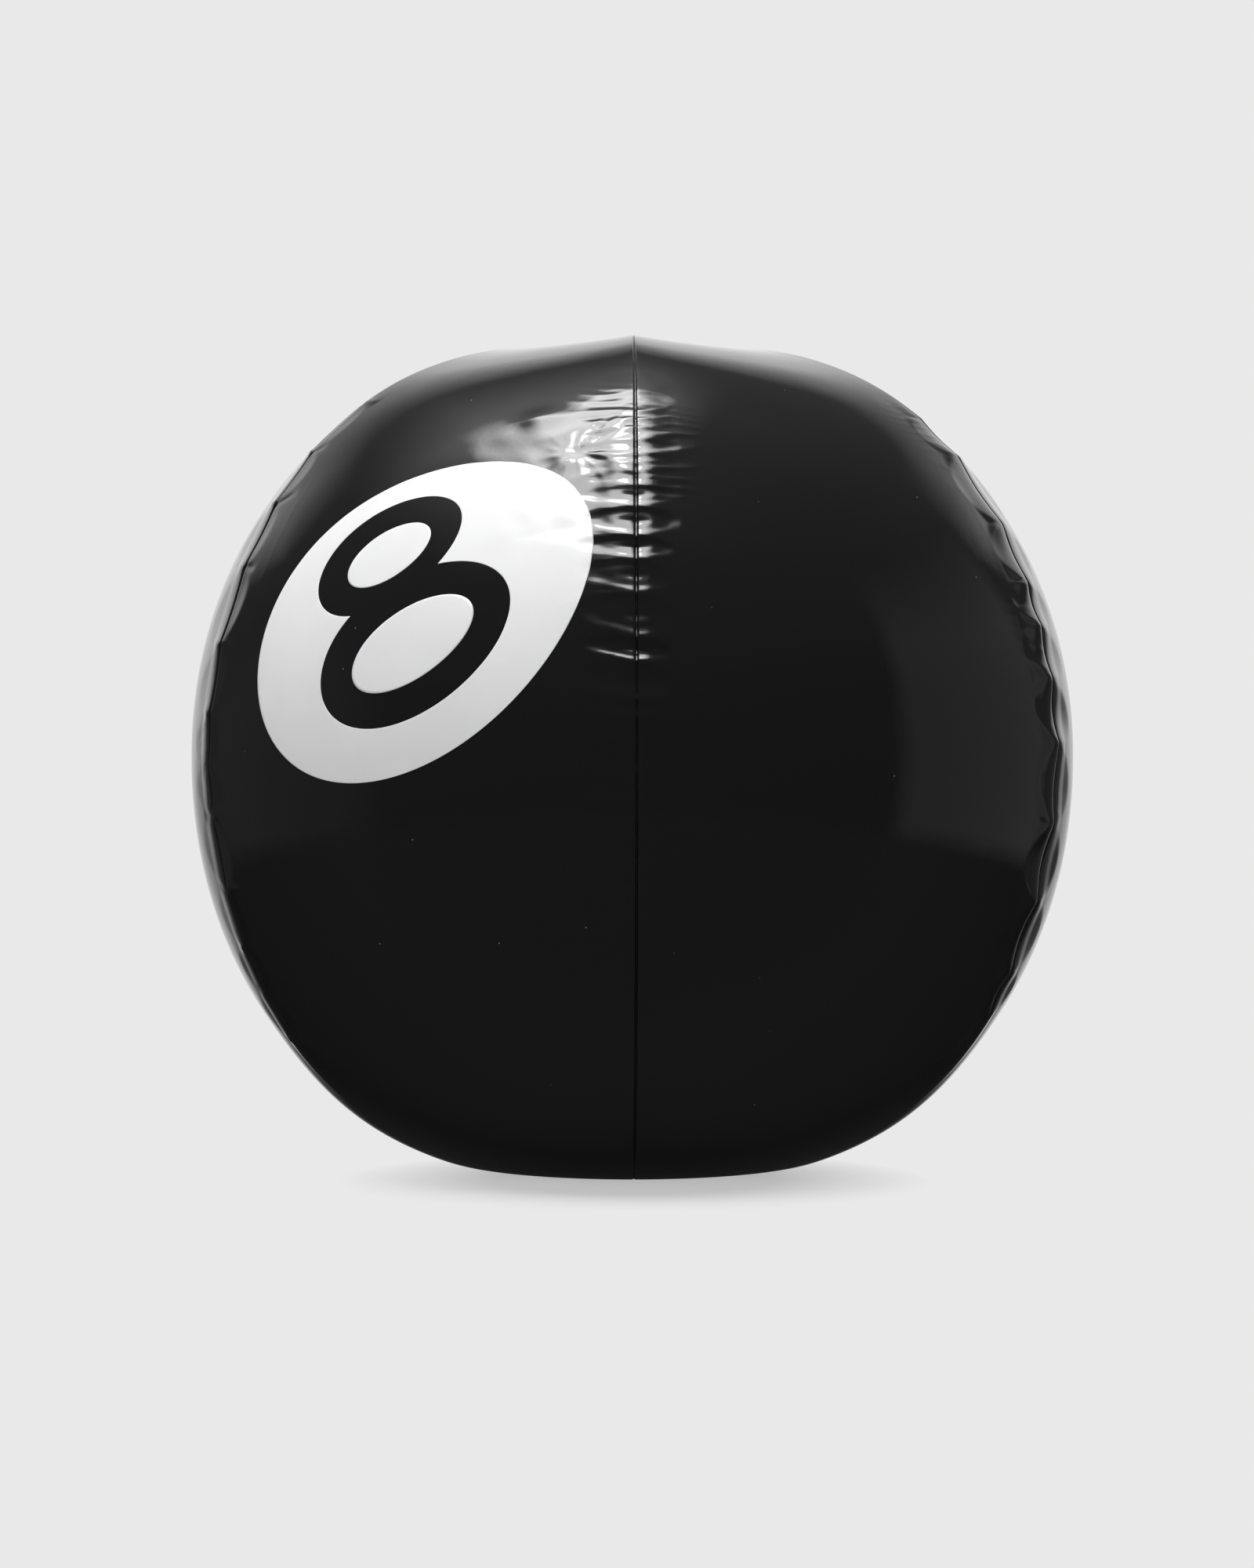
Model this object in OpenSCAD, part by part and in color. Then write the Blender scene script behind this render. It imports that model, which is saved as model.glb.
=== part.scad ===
// Inflatable eight ball: six vinyl panels welded edge to edge with the seams turned in,
// a round patch over each pole, a white printed spot with the figure left out of it,
// and a push-in inflation valve with a tethered plug and an inner flap.
// Origin: middle of the resting face. +Z: pole axis. -Y: the seam at the front.

/* [Ball] */
// Radius to the middle of a panel at the widest level
panel_r = 195; // [190:0.5:200]
// Radius to a seam at the widest level
seam_r = 202.5; // [199:0.5:206]
// Height of the top pole above the widest level
top_h = 184; // [178:0.5:190]
// Depth of the bottom pole below the widest level, before the floor presses it flat
bottom_h = 189.5; // [188:0.5:196]
// Height of the widest level above the floor
widest_z = 180; // [174:0.5:181]

/* [Film] */
// Thickness of the vinyl film
film_t = 0.3; // [0.2:0.05:0.4]
// Width of the welded seam allowance that is turned in
weld_w = 8; // [5:0.5:12]
// Radius of the round patch over each pole
patch_r = 45; // [30:1:45]

/* [Print] */
// Height of the spot's middle above the widest level, along the panel
spot_up = 51.5; // [40:0.5:60]
// Distance of the spot's middle from the panel's centre line
spot_side = 4.9; // [0:0.1:8]
// Half length of the oval spot
spot_long = 80.5; // [60:0.5:82]
// Half width of the oval spot
spot_short = 60.4; // [45:0.1:66]
// Turn of the spot's long axis from level
spot_turn = 32.7; // [20:0.1:45]
// Thickness of the ink film
ink_t = 0.12; // [0.08:0.01:0.2]

/* [Valve] */
// Height of the valve above the widest level
valve_up = 105; // [90:1:120]
// Radius of the opening in the panel
opening_r = 8.5; // [8.5:0.1:10]
// Radius of the valve's bore
bore_r = 3; // [3:0.05:3.2]
// Outer radius of the valve's tube
tube_r = 4.5; // [4.3:0.1:4.6]
// Depth of the tube below the panel when it is pushed in
tube_depth = 14; // [13:0.5:18]
// Radius of the plug's head
head_r = 6.3; // [6.3:0.1:6.4]

/* [Hidden] */

panels = 6;                  // panels round the ball
half_gore = 180 / panels;    // angle from a panel's centre line to its seam
across = 12;                 // facets across a panel
level_step = 5;              // polar angle between levels of points
pole_gap = 1;                // polar angle left open under the patches
seam_inset = 0.45;           // panel edge to seam plane, along the chord
weld_t = 2 * film_t;         // two films fused
weld_sink = 0.3;             // weld's outer edge below the ridge
patch_t = 0.4;
patch_gap = 0.05;            // patch above the film under it
ink_gap = 0.12;              // ink above the film under it
floor_film = patch_t + patch_gap;    // underside of the pressed film
lip_z = 0.8;                 // valve's mouth above the panel
hinge_x = -7;                // plug's hinge line, on the side of the top pole
$fn = 64;

vinyl = [0.03, 0.03, 0.035];
ink = [0.9, 0.91, 0.92];
pale = [0.75, 0.76, 0.78];

// ---- shape of the inflated ball, z measured from the widest level ----
// Both outlines are superellipses: (r / R)^a + (z / H)^b = 1.
seam_a = 2.7;
seam_b = 1.85;
panel_a = 2.25;
panel_b = 2.1;
function pole(z) = z > 0 ? top_h : bottom_h;
function outline(z, big_r, a, b) = big_r * pow(max(0, 1 - pow(abs(z) / pole(z), b)), 1 / a);
function seam_at(z) = outline(z, seam_r, seam_a, seam_b);
function panel_at(z) = outline(z, panel_r, panel_a, panel_b);
// Lean of the panel's centre line: angle of its normal above level
function lean(z) = atan2(panel_b / pole(z) * pow(abs(z) / pole(z), panel_b - 1),
                         panel_a / panel_r * pow(panel_at(z) / panel_r, panel_a - 1));
function level(t) = t < 90 ? top_h * cos(t) : bottom_h * cos(t);
steps = concat([pole_gap], [for (t = [level_step:level_step:180 - level_step]) t],
               [180 - pole_gap]);

// Point of a panel, x across it and its level; the floor presses the lowest part flat
function lowest(z) = max(z + widest_z, floor_film);
function gore_point(x, z) =
    let (half = seam_at(z) / 2, chord = seam_at(z) * cos(half_gore), v = x / half)
    [chord + (panel_at(z) - chord) * (1 - v * v), x, lowest(z)];
function turned(p, a) = [p.x * cos(a) - p.y * sin(a), p.x * sin(a) + p.y * cos(a), p.z];
// Move a point away from the middle of the ball
function lifted(p, d) = let (o = p - [0, 0, widest_z]) p + o * (d / norm(o));

// Closed shell between two sheets of points, both lists of rows
function shell_faces(rows, cols) =
    let (n = rows * cols, last = cols - 1)
    concat(
        [for (i = [0:rows - 2], j = [0:cols - 2])
            each let (a = i * cols + j) [[a, a + 1, a + cols + 1], [a, a + cols + 1, a + cols]]],
        [for (i = [0:rows - 2], j = [0:cols - 2])
            each let (a = n + i * cols + j) [[a, a + cols + 1, a + 1], [a, a + cols, a + cols + 1]]],
        [for (i = [0:rows - 2]) each let (a = i * cols, b = a + cols)
            [[a, b, b + n], [a, b + n, a + n]]],
        [for (i = [0:rows - 2]) each let (a = i * cols + last, b = a + cols)
            [[a, b + n, b], [a, a + n, b + n]]],
        [for (j = [0:cols - 2]) each let (a = j, b = j + 1) [[a, b + n, b], [a, a + n, b + n]]],
        [for (j = [0:cols - 2]) each let (a = n - cols + j, b = a + 1)
            [[a, b, b + n], [a, b + n, a + n]]]);

module shell(outer, inner) {
    rows = len(outer);
    cols = len(outer[0]);
    polyhedron(points = concat([for (row = outer) each row], [for (row = inner) each row]),
               faces = shell_faces(rows, cols));
}

// Part of a panel's sheet between two heights off the film
module gore_sheet(low, high, from = 0, to = len(steps) - 1, inset = seam_inset) {
    grid = [for (i = [from:to]) let (z = level(steps[i]), edge = seam_at(z) / 2 - inset)
        [for (j = [0:across]) gore_point(edge * (1 - 2 * j / across), z)]];
    shell([for (row = grid) [for (p = row) lifted(p, high)]],
          [for (row = grid) [for (p = row) lifted(p, low)]]);
}

function gore_turn(k) = -90 + half_gore + 2 * half_gore * k;
function seam_turn(k) = -90 + 2 * half_gore * k;

module panel(k) color(vinyl) rotate([0, 0, gore_turn(k)]) gore_sheet(-film_t, 0);

module panel_front_right() panel(0);
module panel_right() panel(1);
module panel_back_right()
    color(vinyl) difference() {
        panel(2);
        at_valve() cylinder(r = opening_r, h = 24, center = true);
    }
module panel_back_left() panel(3);
module panel_left() panel(4);
module panel_front_left() panel(5);

// Seam allowance of two panels fused into one strip, standing inwards on the seam plane
module weld(k) {
    line = [for (t = steps) let (z = level(t)) [seam_at(z), 0, lowest(z)]];
    sides = [weld_t / 2, -weld_t / 2];
    color(vinyl) rotate([0, 0, seam_turn(k)])
        shell([for (p = line) [for (y = sides) lifted(p, -weld_sink) + [0, y, 0]]],
              [for (p = line) [for (y = sides) lifted(p, -weld_sink - weld_w) + [0, y, 0]]]);
}

module weld_front() weld(0);
module weld_front_right() weld(1);
module weld_back_right() weld(2);
module weld_back() weld(3);
module weld_back_left() weld(4);
module weld_front_left() weld(5);

// Plate made of rings of points, the outermost last, seen anticlockwise from its upper side.
// A middle point closes the first ring; without one the plate has a hole there.
module ring_plate(upper, lower, middles = []) {
    rows = len(upper);
    around = len(upper[0]);
    solid = len(middles) > 0;
    n = rows * around + (solid ? 1 : 0);
    rim = (rows - 1) * around;
    function next(j) = (j + 1) % around;
    function turned_over(faces) = [for (f = faces) [f[0], f[2], f[1]]];
    quads = [for (i = [0:rows - 2], j = [0:around - 1])
        each let (a = i * around + j, b = i * around + next(j))
            [[a, b, b + around], [a, b + around, a + around]]];
    fan = solid ? [for (j = [0:around - 1]) [rows * around, next(j), j]] : [];
    function wall(o) = [for (j = [0:around - 1])
        each let (a = o + j, b = o + next(j)) [[a, b + n, a + n], [a, b, b + n]]];
    side = concat(quads, fan);
    polyhedron(
        points = concat([for (r = upper) each r], solid ? [middles[0]] : [],
                        [for (r = lower) each r], solid ? [middles[1]] : []),
        faces = concat(side, [for (f = turned_over(side)) [for (v = f) v + n]], wall(rim),
                       solid ? [] : turned_over(wall(0))));
}
function raised(rings, d) = [for (r = rings) [for (p = r) lifted(p, d)]];

// Round patch that follows the six-sided crown
module top_patch() {
    patch_steps = [pole_gap, level_step, 2 * level_step, 3 * level_step];
    crown = [0, 0, top_h + widest_z];
    rings = [for (t = patch_steps) let (z = level(t), edge = seam_at(z) / 2)
        [for (k = [0:panels - 1], j = [0:across - 1])
            turned(gore_point(edge * (2 * j / across - 1), z), gore_turn(k))]];
    color(vinyl) intersection() {
        ring_plate(raised(rings, patch_gap + patch_t), raised(rings, patch_gap),
                   [lifted(crown, patch_gap + patch_t), lifted(crown, patch_gap)]);
        translate([0, 0, widest_z]) cylinder(r = patch_r, h = 2 * top_h);
    }
}

module bottom_patch() color(vinyl) cylinder(r = patch_r, h = patch_t);

// ---- white print ----
// Height along the panel's centre line, measured from the widest level, against level
fine = [for (t = [179:-1:1]) level(t)];
function centre(i) = [panel_at(fine[i]), fine[i]];
along = [for (i = 0, a = 0; i < len(fine);
              i = i + 1, a = i < len(fine) ? a + norm(centre(i) - centre(i - 1)) : a) [a, fine[i]]];
widest_along = lookup(0, [for (p = along) [p[1], p[0]]]);
function level_along(s) = lookup(s + widest_along, along);
// Point of the flat film, w across and s up from the widest level, once inflated
function film_point(w, s) =
    let (z = level_along(s), half = seam_at(z) / 2, rise = panel_at(z) - seam_at(z) * cos(half_gore),
         bend = (half * half + rise * rise) / (2 * rise))
    gore_point(bend * sin(w / bend * 180 / PI), z);

// The spot is drawn as a unit circle and stretched to the oval;
// each loop of the figure is [middle x, y, half width, half height, turn].
spot = [0, 0, 1, 1, 0];
upper_loop = [0.025, 0.47, 0.433, 0.359, -5];
lower_loop = [-0.041, -0.222, 0.56, 0.465, -9];
upper_counter = [0.036, 0.454, 0.249, 0.184, -6.5];
lower_counter = [-0.034, -0.228, 0.361, 0.242, -5.5];
waist = [0, 0.18];    // a point inside both loops
function spun(p, a) = [p.x * cos(a) - p.y * sin(a), p.x * sin(a) + p.y * cos(a)];
function stretched(p, loop) = [p.x / loop[2], p.y / loop[3]];
function printed(p) = let (q = spun([p.x * spot_long, p.y * spot_short], spot_turn))
    film_point(spot_side + q.x, spot_up + q.y);
// Distance from the waist to a loop's outline along a direction
function reach(loop, a) =
    let (p = stretched(spun(waist - [loop[0], loop[1]], -loop[4]), loop),
         d = stretched(spun([cos(a), sin(a)], -loop[4]), loop))
    (-p * d + sqrt(pow(p * d, 2) - (d * d) * (p * p - 1))) / (d * d);

module ink_plate(rings, middle) {
    up = ink_gap + ink_t;
    color(ink) rotate([0, 0, gore_turn(5)])
        ring_plate(raised(rings, up), raised(rings, ink_gap),
                   is_undef(middle) ? [] : [lifted(middle, up), lifted(middle, ink_gap)]);
}
module print_field() {
    facets = 72;
    rows = 5;
    ink_plate([for (i = [0:rows]) [for (j = [0:facets - 1])
        let (a = 360 * j / facets, near = max(reach(upper_loop, a), reach(lower_loop, a)),
             far = reach(spot, a), r = near + (far - near) * i / rows)
        printed(waist + r * [cos(a), sin(a)])]]);
}
module counter(loop) {
    facets = 36;
    rows = 3;
    at = [loop[0], loop[1]];
    ink_plate([for (i = [1:rows]) [for (j = [0:facets - 1])
        let (a = 360 * j / facets)
        printed(at + spun([loop[2] * cos(a), loop[3] * sin(a)], loop[4]) * i / rows)]], printed(at));
}
module print_upper_counter() counter(upper_counter);
module print_lower_counter() counter(lower_counter);

// ---- valve, drawn with z = 0 on the panel and +z outwards; -x is towards the top pole ----
module at_valve() {
    lean_v = lean(valve_up);
    rotate([0, 0, gore_turn(2)]) translate(gore_point(0, valve_up)) rotate([0, 90 - lean_v, 0]) children();
}
collar_r = tube_r + 0.7;     // ring that the boot grips
collar_z = 1 - tube_depth;   // underside of that ring
collar_t = 1;
lip_r = 6.2;
flange_r = 17;

module valve_flange()
    color(vinyl) at_valve() rotate_extrude()
        polygon([[opening_r, -0.85], [flange_r, -1.9], [flange_r, -2.5], [opening_r, -1.45]]);

module valve_boot()
    color(vinyl) at_valve() rotate_extrude()
        polygon([[opening_r - 0.55, -1], [opening_r - 0.05, -1], [collar_r + 0.75, collar_z],
                 [collar_r + 0.05, collar_z], [collar_r + 0.05, collar_z + 0.7],
                 [collar_r + 0.25, collar_z + 0.7]]);

module valve_stem()
    color(pale) at_valve() {
        rotate_extrude()
            polygon([[bore_r, -tube_depth], [tube_r, -tube_depth], [tube_r, collar_z],
                     [collar_r, collar_z], [collar_r, collar_z + collar_t],
                     [tube_r, collar_z + collar_t], [tube_r, -0.9], [lip_r, -0.2],
                     [lip_r, lip_z], [bore_r, lip_z]]);
        // Lug under the tether's root
        difference() {
            translate([-7.5, -2, -0.7]) cube([2, 4, 0.8]);
            translate([0, 0, -1]) cylinder(r = tube_r + 0.5, h = 2);
        }
    }

plug_gap = 0.05;
head_z = lip_z + plug_gap;   // underside of the plug's head
nose = 4.5;                  // length of the plug's cone
tip_r = bore_r - 1.1;
head_t = 1.5;
tab_r = 2.5;

module valve_plug()
    color(pale) at_valve() {
        rotate_extrude()
            polygon([[0, head_z - nose], [tip_r, head_z - nose], [bore_r - plug_gap, head_z],
                     [head_r - 0.2, head_z], [head_r, head_z + 0.2], [head_r, head_z + head_t - 0.3],
                     [head_r - 0.4, head_z + head_t], [0, head_z + head_t]]);
        // Finger tab
        translate([0, 0, head_z + 0.25]) {
            translate([head_r - 1, -tab_r, 0]) cube([tab_r + 0.4, 2 * tab_r, 0.9]);
            translate([head_r - 0.6 + tab_r, 0, 0]) cylinder(r = tab_r, h = 0.9);
        }
    }

module plug_tether()
    color(pale) at_valve() difference() {
        union() {
            translate([hinge_x - 0.1, -2, head_z]) cube([1.4, 4, 0.5]);
            translate([hinge_x, 0, lip_z]) rotate([90, 0, 0]) cylinder(r = 0.5, h = 4, center = true);
        }
        translate([0, 0, head_z - 1]) cylinder(r = head_r + 0.02, h = 4);
    }

flap_r = tube_r - 0.3;
flap_t = 0.4;
module valve_flap()
    color(pale) at_valve() translate([0, 0, -tube_depth - plug_gap - flap_t]) {
        cylinder(r = flap_r, h = flap_t);
        translate([flap_r - 1, -1.5, 0]) cube([1.4, 3, flap_t]);
    }

panel_front_right();
panel_right();
panel_back_right();
panel_back_left();
panel_left();
panel_front_left();
weld_front();
weld_front_right();
weld_back_right();
weld_back();
weld_back_left();
weld_front_left();
top_patch();
bottom_patch();
print_field();
print_upper_counter();
print_lower_counter();
valve_flange();
valve_boot();
valve_stem();
valve_plug();
plug_tether();
valve_flap();
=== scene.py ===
import math

import bmesh
import bpy
import numpy as np
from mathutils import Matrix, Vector


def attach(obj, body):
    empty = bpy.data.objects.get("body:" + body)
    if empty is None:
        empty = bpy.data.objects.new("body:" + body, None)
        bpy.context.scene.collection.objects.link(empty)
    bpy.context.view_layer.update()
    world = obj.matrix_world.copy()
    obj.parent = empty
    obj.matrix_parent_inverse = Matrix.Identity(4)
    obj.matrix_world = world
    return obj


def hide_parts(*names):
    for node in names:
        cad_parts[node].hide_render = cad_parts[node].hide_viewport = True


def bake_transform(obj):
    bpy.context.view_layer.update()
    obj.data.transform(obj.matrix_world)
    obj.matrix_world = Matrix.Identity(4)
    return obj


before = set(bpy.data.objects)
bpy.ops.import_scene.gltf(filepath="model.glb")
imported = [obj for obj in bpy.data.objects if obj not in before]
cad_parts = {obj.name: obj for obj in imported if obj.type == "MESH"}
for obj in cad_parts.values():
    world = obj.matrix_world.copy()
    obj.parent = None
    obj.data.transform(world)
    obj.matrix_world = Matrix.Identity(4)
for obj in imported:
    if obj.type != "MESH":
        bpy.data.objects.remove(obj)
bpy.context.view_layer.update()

mm = 0.001

# Inflated ball, all lengths in millimetres, heights z measured from the widest level.
ball = {
    "seamRadius": 202.5,
    "panelRadius": 195.0,
    "topHeight": 184.0,
    "bottomDepth": 189.5,
    "widestZ": 180.0,       # above the floor
    "seamPowers": (2.7, 1.85),
    "panelPowers": (2.25, 2.1),
    "panels": 6,
    "film": 0.3,
    "floorFilm": 0.45,      # underside of the pressed film, above the floor
    "pressRadius": 1.5,     # softness of the edge of the pressed part
}
halfGore = math.pi / ball["panels"]
printPanel = 5              # front left
probe = 0.05                # half step of slopes
poleMargin = 0.1            # slopes are taken this far from the poles at least
ridgeBlend = 6              # width of the film that turns over to the ridge
creaseSpan = 9              # how far a crease is felt sideways


def poleHeight(z):
    return np.where(z > 0, ball["topHeight"], ball["bottomDepth"])


def outline(z, radius, powers):
    # superellipse: (r / radius)^a + (z / pole)^b = 1, solved for r
    inside = 1 - np.abs(z / poleHeight(z)) ** powers[1]
    return radius * np.maximum(inside, 0) ** (1 / powers[0])


def seamRadius(z):
    return outline(z, ball["seamRadius"], ball["seamPowers"])


def panelRadius(z):
    return outline(z, ball["panelRadius"], ball["panelPowers"])


def slopeOf(curve, z):
    limit = poleHeight(z) - 2 * probe
    inner = np.clip(z, -limit, limit)
    return (curve(inner + probe) - curve(inner - probe)) / (2 * probe)


def panelDepth(x, z):
    # distance from the pole axis: chord between two seams plus a parabola that is highest midway
    half = np.maximum(seamRadius(z) / 2, 1e-6)
    chord = seamRadius(z) * math.cos(halfGore)
    return chord + (panelRadius(z) - chord) * (1 - (x / half) ** 2)


# lengths along the two outlines, from the widest level, against height
polar = np.linspace(0, math.pi, 4001)[1:-1]
levelTable = np.where(polar < math.pi / 2, ball["topHeight"], ball["bottomDepth"]) * np.cos(polar)


def lengthTable(curve):
    r = curve(levelTable)
    run = np.r_[0, np.cumsum(np.hypot(np.diff(r), np.diff(levelTable)))]
    return np.interp(0, -levelTable, run) - run


panelLength = lengthTable(panelRadius)
seamLength = lengthTable(seamRadius)


def levelAt(s):
    return np.interp(s, panelLength[::-1], levelTable[::-1])


def lengthAlongPanel(z):
    return np.interp(z, levelTable[::-1], panelLength[::-1])


def lengthAlongSeam(z):
    return np.interp(z, levelTable[::-1], seamLength[::-1])


# Puckers. Each seam has corners where the film is pinched, and sags inwards between them.
# A fold is (length along the seam of its upper corner, depth of the sag below that corner).
frontFolds = [
    (205, 0.05), (176, 0.12), (157.8, 0.55), (143.4, 0.45), (139.0, 0.45), (133.9, 0.5),
    (127.2, 0.6), (119.5, 0.45), (115.0, 0.4), (110.7, 0.55), (104.1, 0.9), (94.1, 1.25),
    (80.8, 1.15), (71.0, 0.8), (56.8, 0.95), (39.0, 1.35), (29.9, 0.9), (14.7, 0.6),
    (9.1, 0.6), (-2.1, 0.7), (-12.0, 0.5), (-17.6, 0.6), (-28.4, 0.6), (-40.3, 0.6),
    (-48.7, 0.7), (-59.1, 0.45), (-68.4, 0.3), (-75.0, 0.35), (-88.7, 0.3), (-111, 0.2),
    (-135, 0.1), (-160, 0.0),
]
puckers = {
    "seed": 8,
    "manner": {                 # depth, reach and band left and right of a seam, pinch folds
        1: (1.0, (1.0, 1.5), (1.0, 0.6), 1.0),
        5: (0.42, (1.6, 0.55), (0.5, 0.05), 2.4),
    },
    "cell": (19, 36),           # spacing of the corners on the other seams
    "depth": (1.7, 2.8),        # sag in the widest cells
    "top": 176,
    "bottom": -150,
    "reach": (14.5, 19),        # how far a sag runs into the panel
    "frontReach": (23, 16.5),   # left and right of the front seam
    "power": 1.25,
    "rings": (0.13, 0.0),       # shallow rings inside a dent, front seam and the others
    "flank": (2, 1.7),          # dents are round across the front seam, sharper across the others
    "bandSlope": (0.26, 0.4),   # film beside the weld, flatter than the ridge
    "bandReach": 17.0,
    "wrinkles": 15,             # short creases on one side of a seam
    "wrinkleLength": (7, 17),
    "wrinkleHeight": (0.08, 0.24),
    "wrinkleWidth": (0.9, 1.8),
    "calmPast": 165,            # the puckers fade out this far from the widest level
    "slantPitch": 31,
    "slantReach": 6,
}
gathers = {                     # fine ripples beside the welds
    "height": (0.3, 0.1),       # front seam and the others
    "reach": 15,
    "pitch": 6.4,
    "wander": ((2.6, 11), (1.7, 5.3)),      # size and length of the drift along the seam
    "lean": (0.07, 13, 0.03),
    "patches": (0.55, 0.65, 17),            # middle, swing and length of stronger stretches
    "frontCalm": (78, 22, 0.12),            # front seam: weak below this height, with fade and least share
}


def makeSeams():
    draw = np.random.default_rng(puckers["seed"])
    seams = []
    for k in range(ball["panels"]):
        if k == 0:
            folds = np.array(frontFolds, float)[::-1]
            corners = folds[:, 0]
            depths = folds[1:, 1]
        else:
            steps = draw.uniform(*puckers["cell"], 24)
            corners = puckers["bottom"] + np.cumsum(steps)
            corners = corners[corners < puckers["top"]]
            width = np.diff(corners)
            middle = (corners[1:] + corners[:-1]) / 2
            fade = np.clip(1.25 - np.abs(middle / puckers["calmPast"]) ** 3, 0.1, 1)
            share = width / puckers["cell"][1]
            depths = draw.uniform(*puckers["depth"], len(width)) * share ** 0.6 * fade
        sag, spread, flat, pinch = puckers["manner"].get(k, (1.0, (1.0, 1.0), (1.0, 1.0), 1.0))
        cells = len(depths)
        if k == 0:
            spots = draw.triangular(-120, 90, 165, 2 * puckers["wrinkles"])
        else:
            spots = np.r_[corners, corners] + draw.uniform(-2, 2, 2 * len(corners))
        count = len(spots)
        seams.append({
            "corners": corners,
            "depths": depths * sag,
            "reach": draw.uniform(*puckers["reach"], (cells, 2)) * spread if k else
                     np.array(puckers["frontReach"]) * draw.uniform(0.88, 1.08, (cells, 2)),
            "band": flat,
            "slant": draw.uniform(-0.1, 0.1, 5),
            "phase": draw.uniform(0, 2 * math.pi, 5),
            "waves": draw.uniform(0.6, 1.6, 5),
            "wrinkles": np.stack([
                spots,
                draw.choice([-1.0, 1.0], count) if k == 0 else np.repeat([-1.0, 1.0], len(corners)),
                draw.uniform(*puckers["wrinkleLength"], count),
                draw.uniform(*puckers["wrinkleHeight"], count) * draw.choice([-1.0, 1.0], count) * pinch,
                draw.uniform(*puckers["wrinkleWidth"], count),
                draw.uniform(-25, 25, count)], -1),
        })
    return seams


seams = makeSeams()


def seamRelief(k, s, d, side):
    # dents between the corners: depth (1 - (2t - 1)^2 - (d / reach)^flank)^power, with t the place
    # in the cell and d the distance from the seam; beside the weld the film stands off the ridge by
    # slope d (1 - d / bandReach)^2; short creases and fine ripples lie over that
    seam = seams[k]
    kind = min(k, 1)            # the front seam or one of the others
    turn = sum(a * np.sin(s / puckers["slantPitch"] * w + p)
               for a, w, p in zip(seam["slant"], seam["waves"], seam["phase"]))
    along = s + side * d * turn * np.clip(d / puckers["slantReach"], 0, 1)
    corners = seam["corners"]
    cell = np.clip(np.searchsorted(corners, along) - 1, 0, len(corners) - 2)
    inside = (along > corners[0]) & (along < corners[-1])
    t = np.clip((along - corners[cell]) / (corners[cell + 1] - corners[cell]), 0, 1)
    reach = np.where(side > 0, seam["reach"][cell, 1], seam["reach"][cell, 0])
    share = np.where(side > 0, seam["band"][1], seam["band"][0])
    left = np.clip(1 - (2 * t - 1) ** 2 - (d / reach) ** puckers["flank"][kind], 0, 1)
    rings = puckers["rings"][kind] * np.cos(3 * math.pi * np.sqrt(1 - left)) * left
    total = -seam["depths"][cell] * (left ** puckers["power"] + rings) * inside
    fade = np.clip(1.2 - np.abs(s / puckers["calmPast"]) ** 4, 0, 1)
    belly = np.sqrt(np.clip(1 - (2 * t - 1) ** 2, 0, 1))
    band = np.clip(1 - d / (puckers["bandReach"] * (0.66 + 0.34 * belly)), 0, 1) ** 2
    total = total + puckers["bandSlope"][kind] * d * band * fade * share
    for at, which, length, height, width, slant in seam["wrinkles"]:
        ridge = crease(d, s, (length * 0.35, at), slant, length * 0.65, height, width)
        total = total + (side == which) * ridge
    return total + gatherRelief(k, s, d, side) * fade * share


def gatherRelief(k, s, d, side):
    # ripples height (1 - |sin(pi s / pitch + drift)|)^1.6 d / 5 e^-(d / reach)^2, stronger in some
    # stretches than in others
    w, p = seams[k]["waves"], seams[k]["phase"]
    (slow, slowLength), (quick, quickLength) = gathers["wander"]
    wander = slow * np.sin(s / slowLength * w[0] + p[0] + side)
    wander = wander + quick * np.sin(s / quickLength * w[1] + p[1] + d / 9)
    swing, swingLength, tilt = gathers["lean"]
    lean = d * (swing * np.sin(s / swingLength + p[2] + 2 * side) + tilt * side)
    fine = (1 - np.abs(np.sin(math.pi / gathers["pitch"] * s + wander / 2 + lean))) ** 1.6
    near = d / 5 * np.exp(-(d / gathers["reach"]) ** 2)
    middle, change, changeLength = gathers["patches"]
    patchy = np.clip(middle + change * np.sin(s / changeLength * w[3] + p[3] + 1.3 * side), 0, 1)
    if k == 0:
        height, rise, least = gathers["frontCalm"]
        patchy = patchy * np.clip((s - height) / rise, least, 1)
    return gathers["height"][min(k, 1)] * fine * near * patchy


def crease(x, s, middle, turn, half, height, width):
    # ridge height / (1 + (q / width)^2) across it, faded by (1 - p^2)^1.2 along it and by
    # e^-(q / creaseSpan)^2 across it
    a = math.radians(turn)
    p = ((x - middle[0]) * math.cos(a) + (s - middle[1]) * math.sin(a)) / half
    q = -(x - middle[0]) * math.sin(a) + (s - middle[1]) * math.cos(a)
    return height * np.clip(1 - p ** 2, 0, 1) ** 1.2 / (1 + (q / width) ** 2) * np.exp(-(q / creaseSpan) ** 2)


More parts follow.
